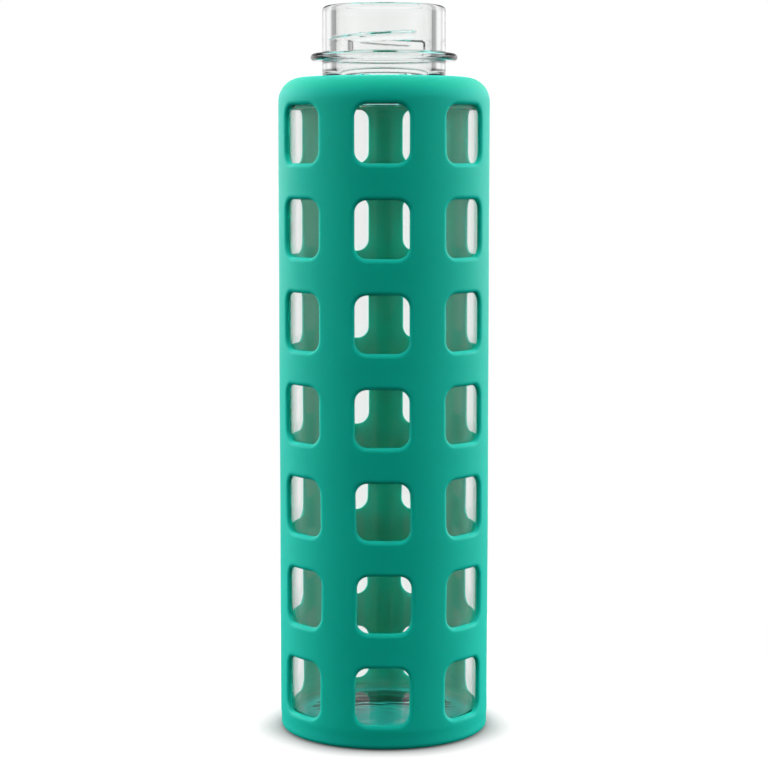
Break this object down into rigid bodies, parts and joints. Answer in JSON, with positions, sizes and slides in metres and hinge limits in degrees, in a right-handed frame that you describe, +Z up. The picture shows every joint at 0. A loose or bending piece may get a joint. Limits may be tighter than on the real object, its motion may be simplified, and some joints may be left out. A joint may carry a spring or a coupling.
{
  "type": "glass water bottle",
  "caption": "Tall round glass water bottle with a wide threaded neck, standing in a teal silicone sleeve pierced by a grid of rounded windows.",
  "frame": {"origin": "centre of the sleeve's foot ring, on the surface that the bottle stands on", "axes": "+Z up the bottle's axis to its mouth, -Y through the middle of one column of the sleeve's windows"},
  "size_m": [0.0698, 0.0698, 0.2408],
  "materials": {
    "clear_glass": "clear polished soda-lime glass, faintly green where it is thick",
    "teal_silicone": "satin moulded silicone, teal right through"
  },
  "bodies": {
    "sleeve": {"silicone_sleeve": "teal_silicone"},
    "bottle": {"glass_bottle": "clear_glass"}
  },
  "joints": [
    {"name": "bottle_lift_out", "type": "slide", "parent": "sleeve", "child": "bottle", "axis": [0, 0, 1], "range_m": [0, 0.225], "deforming": ["silicone_sleeve"]}
  ]
}
